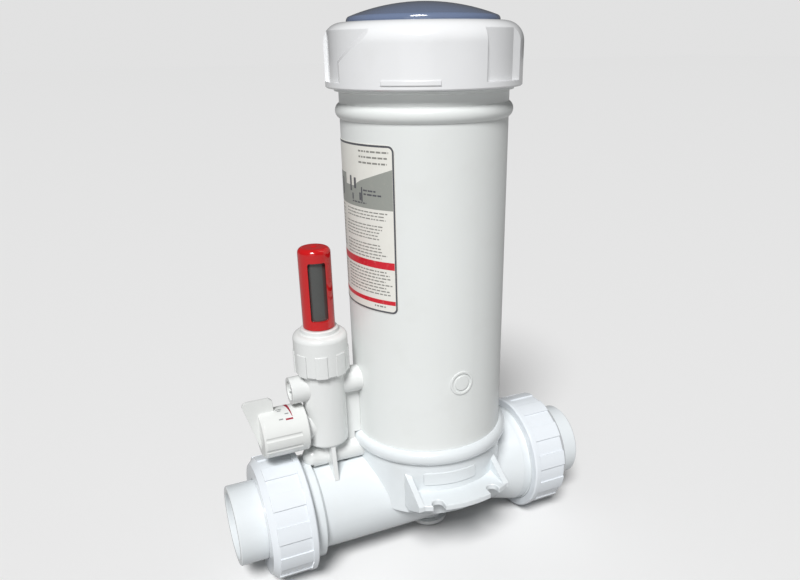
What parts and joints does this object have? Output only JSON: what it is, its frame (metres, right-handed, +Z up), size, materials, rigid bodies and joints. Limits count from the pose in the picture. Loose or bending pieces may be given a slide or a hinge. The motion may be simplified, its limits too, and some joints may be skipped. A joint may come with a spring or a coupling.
{
  "type": "in-line pool tablet chlorinator",
  "caption": "Upright clear-domed tablet canister on a tee with a union at each end, a side dial valve and a red-shielded sight tube.",
  "frame": {"origin": "where the centreline of the through pipe crosses the axis of the canister", "axes": "+X along the pipe to the outlet, +Z up along the canister, -Y to the side with the name pad"},
  "size_m": [0.3518, 0.186, 0.4881],
  "materials": {
    "base_plastic": "glossy white moulded PVC",
    "nut_plastic": "glossy white moulded PVC",
    "knob_plastic": "glossy white moulded ABS",
    "canister_plastic": "satin white moulded ABS",
    "label_film": "printed vinyl film",
    "inner_plastic": "moulded, unpolished",
    "ring_plastic": "glossy white moulded ABS",
    "dome_plastic": "tinted clear plastic",
    "seal_rubber": "moulded rubber",
    "smoked_plastic": "smoked clear tube",
    "red_plastic": "glossy red moulded plastic",
    "float_plastic": "dark grey plastic",
    "spring_steel": "drawn wire",
    "plug_plastic": "moulded plastic"
  },
  "bodies": {
    "base": {"feeder_base": "base_plastic", "canister": "canister_plastic", "canister_label": "label_film", "valve_body": "base_plastic", "tablet_grate": "inner_plastic", "check_seat": "seal_rubber", "check_spring": "spring_steel", "gland_clip": "spring_steel", "left_union_seal": "seal_rubber", "right_union_seal": "seal_rubber", "sight_seal": "seal_rubber"},
    "left_tail": {"left_tailpiece": "base_plastic"},
    "left_nut": {"left_union_nut": "nut_plastic"},
    "right_tail": {"right_tailpiece": "base_plastic"},
    "right_nut": {"right_union_nut": "nut_plastic"},
    "neck_seal": {"lid_seal": "seal_rubber"},
    "dome": {"lid_dome": "dome_plastic"},
    "ring": {"lock_ring": "ring_plastic"},
    "sight": {"sight_tube": "smoked_plastic", "indicator_shield": "red_plastic"},
    "sight_nut": {"valve_nut": "nut_plastic"},
    "float": {"flow_float": "float_plastic"},
    "knob": {"control_knob": "knob_plastic", "valve_spool": "inner_plastic", "spool_seals": "seal_rubber"},
    "ball": {"check_ball": "inner_plastic"},
    "plug_seal": {"drain_seal": "seal_rubber"},
    "plug": {"drain_plug": "plug_plastic"}
  },
  "joints": [
    {"name": "left_union_draw", "type": "slide", "parent": "base", "child": "left_tail", "axis": [-1, 0, 0], "range_m": [0, 0.012]},
    {"name": "left_nut_turn", "type": "hinge", "parent": "left_tail", "child": "left_nut", "pos_m": [-0.15, 0, 0], "axis": [-1, 0, 0], "range_deg": [0, 720]},
    {"name": "right_union_draw", "type": "slide", "parent": "base", "child": "right_tail", "axis": [1, 0, 0], "range_m": [0, 0.012]},
    {"name": "right_nut_turn", "type": "hinge", "parent": "right_tail", "child": "right_nut", "pos_m": [0.11, 0, 0], "axis": [1, 0, 0], "range_deg": [0, 720]},
    {"name": "lid_lift_off", "type": "slide", "parent": "base", "child": "neck_seal", "axis": [0, 0, 1], "range_m": [0, 0.15]},
    {"name": "lid_rise", "type": "slide", "parent": "neck_seal", "child": "dome", "axis": [0, 0, 1], "range_m": [0, 0.012]},
    {"name": "lock_ring_turn", "type": "hinge", "parent": "dome", "child": "ring", "pos_m": [0, 0, 0.39], "axis": [0, 0, 1], "range_deg": [0, 720]},
    {"name": "sight_tube_rise", "type": "slide", "parent": "base", "child": "sight", "axis": [0, 0, 1], "range_m": [0, 0.012]},
    {"name": "valve_nut_turn", "type": "hinge", "parent": "sight", "child": "sight_nut", "pos_m": [-0.1014, 0, 0.15], "axis": [0, 0, 1], "range_deg": [0, 1080]},
    {"name": "flow_float_rise", "type": "slide", "parent": "base", "child": "float", "axis": [0, 0, 1], "range_m": [0, 0.04]},
    {"name": "control_knob_turn", "type": "hinge", "parent": "base", "child": "knob", "pos_m": [-0.14, 0, 0.0858], "axis": [1, 0, 0], "range_deg": [-90, 0]},
    {"name": "check_ball_lift", "type": "slide", "parent": "base", "child": "ball", "axis": [0, 0, 1], "range_m": [0, 0.002], "stiffness_N_per_m": 20, "springref_m": -0.001, "deforming": ["check_spring"]},
    {"name": "drain_plug_draw", "type": "slide", "parent": "base", "child": "plug_seal", "axis": [0, 0, -1], "range_m": [0, 0.009]},
    {"name": "drain_plug_turn", "type": "hinge", "parent": "plug_seal", "child": "plug", "pos_m": [0, 0, -0.045], "axis": [0, 0, -1], "range_deg": [0, 1080]}
  ],
  "couplings": [
    {"joint": "left_union_draw", "follows": "left_nut_turn", "m_per_rad": 0.00095492},
    {"joint": "right_union_draw", "follows": "right_nut_turn", "m_per_rad": 0.00095492},
    {"joint": "lid_rise", "follows": "lock_ring_turn", "m_per_rad": 0.00095492},
    {"joint": "sight_tube_rise", "follows": "valve_nut_turn", "m_per_rad": 0.00063661},
    {"joint": "drain_plug_draw", "follows": "drain_plug_turn", "m_per_rad": 0.00047746}
  ]
}
